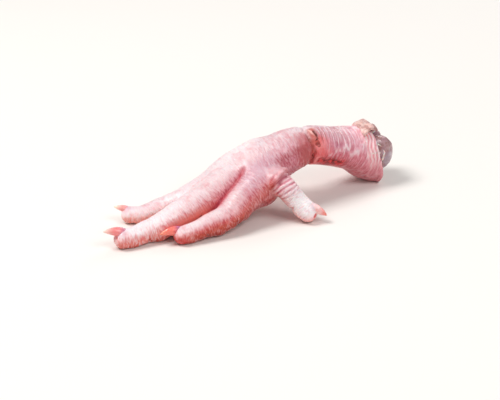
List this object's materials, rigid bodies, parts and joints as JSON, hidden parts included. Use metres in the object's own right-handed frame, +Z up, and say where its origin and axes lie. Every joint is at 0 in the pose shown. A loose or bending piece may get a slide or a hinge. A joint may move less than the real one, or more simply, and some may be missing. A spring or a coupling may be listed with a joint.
{
  "type": "raw chicken foot",
  "caption": "Raw pink poultry foot cut off at the hock, bent at mid shank, standing as a low arch on its toes, hind toe and cut end.",
  "frame": {"origin": "middle of the foot's outline seen from above, on the surface that it stands on", "axes": "+X from the toes to the cut end at the hock, +Z up, the hind toe on the -Y side"},
  "size_m": [0.1472, 0.048, 0.0342],
  "materials": {
    "skin": "moist raw poultry skin, pink with paler wrinkles, satin to wet gloss",
    "cartilage": "wet grey-mauve joint cartilage with pale gristle",
    "claw": "smooth translucent pink horn, satin"
  },
  "bodies": {
    "root": {"foot_flesh": "skin", "joint_end": "cartilage", "claw_middle": "claw", "claw_outer": "claw", "claw_inner": "claw", "claw_hind": "claw"}
  },
  "joints": []
}
